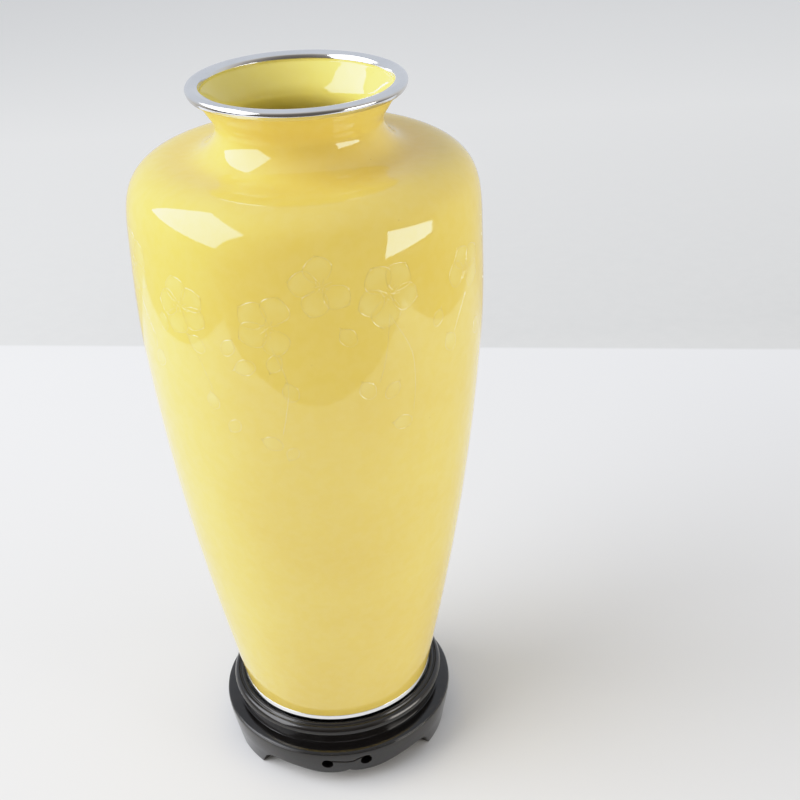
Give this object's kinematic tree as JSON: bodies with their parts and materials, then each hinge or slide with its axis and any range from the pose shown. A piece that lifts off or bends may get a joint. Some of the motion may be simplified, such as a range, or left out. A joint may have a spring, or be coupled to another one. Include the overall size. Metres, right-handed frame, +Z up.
{
  "type": "cloisonne vase on a stand",
  "caption": "Round-shouldered yellow enamel vase with silver mouth and foot rings, lifting off a turned and carved dark wood stand.",
  "frame": {"origin": "centre of the footprint, on the surface the stand's feet rest on", "axes": "+Z up along the vase's axis of revolution; -Y is the front, where the stand's lobe with two drilled holes is"},
  "size_m": [0.121, 0.121, 0.2701],
  "materials": {
    "copper": "bare spun copper, hidden under enamel",
    "yellow_enamel": "fired and polished, very glossy",
    "counter_enamel": "fired, glossy",
    "silver_plate": "polished",
    "dark_wood": "satin lacquer"
  },
  "bodies": {
    "stand": {"seat_ring": "dark_wood", "floor_panel": "dark_wood", "waist_ring": "dark_wood", "shoulder_ring": "dark_wood", "apron": "dark_wood"},
    "vase": {"copper_lower": "copper", "copper_shoulder": "copper", "copper_neck": "copper", "base_plate": "copper", "outer_enamel": "yellow_enamel", "inner_enamel": "counter_enamel", "base_enamel": "counter_enamel", "mouth_ring": "silver_plate", "foot_ring": "silver_plate"}
  },
  "joints": [
    {"name": "vase_lift", "type": "slide", "parent": "stand", "child": "vase", "axis": [0, 0, 1], "range_m": [0, 0.12]}
  ]
}
